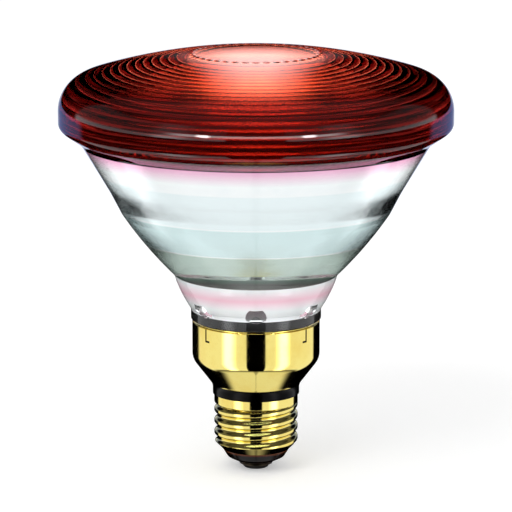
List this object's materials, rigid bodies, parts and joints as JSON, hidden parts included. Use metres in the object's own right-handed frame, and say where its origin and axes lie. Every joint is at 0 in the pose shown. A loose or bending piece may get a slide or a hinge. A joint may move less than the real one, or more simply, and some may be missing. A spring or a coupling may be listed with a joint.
{
  "type": "infrared heat lamp bulb",
  "caption": "Infrared reflector heat lamp with a domed red glass lens, a silvered pressed-glass bowl, a clear glass neck and a skirted brass screw cap.",
  "frame": {"origin": "middle of the flat solder on the centre contact, on the lamp's axis", "axes": "+Z runs along the axis from the cap to the lens; -Y faces the viewer of the picture"},
  "size_m": [0.122, 0.122, 0.1326],
  "materials": {
    "red_glass": "polished red glass, ribbed inside",
    "silvered_glass": "clear pressed glass, silvered inside the bowl",
    "clear_glass": "clear glass",
    "cap_brass": "bright polished brass",
    "contact_brass": "dull stamped brass",
    "black_glass": "black glass insulator",
    "solder": "dull tin solder",
    "ferrule_metal": "dull nickel iron",
    "lead_wire": "drawn nickel wire",
    "filament_wire": "grey tungsten wire"
  },
  "bodies": {
    "root": {"red_lens": "red_glass", "glass_reflector": "silvered_glass", "skirt": "cap_brass", "screw_shell": "cap_brass", "base_insulator": "black_glass", "contact_plate": "contact_brass", "contact_solder": "solder", "ferrule_left": "ferrule_metal", "ferrule_right": "ferrule_metal", "inner_lead_left": "lead_wire", "inner_lead_right": "lead_wire", "bridge_bead": "clear_glass", "anchor_left": "lead_wire", "anchor_middle": "lead_wire", "anchor_right": "lead_wire", "filament": "filament_wire", "exhaust_tube": "clear_glass", "outer_lead_side": "lead_wire", "outer_lead_centre": "lead_wire", "side_solder": "solder"}
  },
  "joints": []
}
